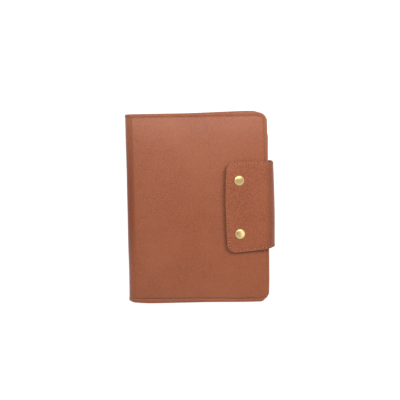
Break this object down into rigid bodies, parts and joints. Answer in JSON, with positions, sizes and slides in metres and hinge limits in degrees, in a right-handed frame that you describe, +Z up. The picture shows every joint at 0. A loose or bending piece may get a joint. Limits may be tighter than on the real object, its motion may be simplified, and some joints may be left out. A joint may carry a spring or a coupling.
{
  "type": "leather notebook cover",
  "caption": "Tan leather notebook cover with padded stitched panels, round spine and a wide strap that wraps the fore edge and snaps shut, holding a sewn notebook in inner sleeves.",
  "frame": {"origin": "under the middle of the closed cover's box, on the plane of the back cover's outer face", "axes": "+X from the spine to the fore edge, +Y to the head of the book, +Z up from the back cover to the front"},
  "size_m": [0.1774, 0.228, 0.0337],
  "materials": {
    "tan_leather": "fine pebble grain, satin",
    "pocket_leather": "thin, smooth, matte",
    "twill_lining": "woven twill",
    "foam": "thin padding foam",
    "grey_board": "dense binder's board",
    "kraft_card": "uncoated card",
    "paper": "uncoated off-white",
    "spine_tape": "bookbinder's cloth tape",
    "brass": "polished, lightly brushed"
  },
  "bodies": {
    "back": {"back_leather": "tan_leather", "back_foam": "foam", "back_board": "grey_board", "back_lining": "twill_lining", "back_pocket": "pocket_leather", "notebook_back_cover": "kraft_card", "notebook_spine_lower": "spine_tape", "signature_1": "paper", "signature_2": "paper", "signature_3": "paper", "strap_root_leather": "tan_leather", "strap_root_lining": "tan_leather"},
    "spine": {"spine_leather": "tan_leather", "spine_stiffener": "grey_board", "spine_lining": "twill_lining"},
    "front": {"front_leather": "tan_leather", "front_foam": "foam", "front_board": "grey_board", "front_lining": "twill_lining", "front_pocket": "pocket_leather", "notebook_front_cover": "kraft_card", "upper_snap_stud": "brass", "lower_snap_stud": "brass", "upper_snap_post": "brass", "lower_snap_post": "brass"},
    "pages": {"signature_4": "paper", "signature_5": "paper", "signature_6": "paper", "notebook_spine_upper": "spine_tape"},
    "strap_side": {"strap_side_leather": "tan_leather", "strap_side_lining": "tan_leather"},
    "flap": {"flap_leather": "tan_leather", "flap_lining": "tan_leather", "upper_snap_cap": "brass", "lower_snap_cap": "brass", "upper_snap_socket": "brass", "lower_snap_socket": "brass"}
  },
  "joints": [
    {"name": "spine_fold", "type": "hinge", "parent": "back", "child": "spine", "pos_m": [-0.08548, 0, 0.00322], "axis": [0, -1, 0], "range_deg": [0, 90]},
    {"name": "front_fold", "type": "hinge", "parent": "spine", "child": "front", "pos_m": [-0.08548, 0, 0.02278], "axis": [0, -1, 0], "range_deg": [0, 90]},
    {"name": "page_turn", "type": "hinge", "parent": "back", "child": "pages", "pos_m": [-0.0807, 0, 0.013], "axis": [0, -1, 0], "range_deg": [0, 180]},
    {"name": "strap_fold", "type": "hinge", "parent": "back", "child": "strap_side", "pos_m": [0.0868, 0, 0.0038], "axis": [0, 1, 0], "range_deg": [0, 90]},
    {"name": "flap_fold", "type": "hinge", "parent": "strap_side", "child": "flap", "pos_m": [0.08606, 0, 0.02871], "axis": [0, 1, 0], "range_deg": [0, 90]}
  ],
  "couplings": [
    {"joint": "front_fold", "follows": "spine_fold", "ratio": 1},
    {"joint": "page_turn", "follows": "spine_fold", "ratio": 2}
  ]
}
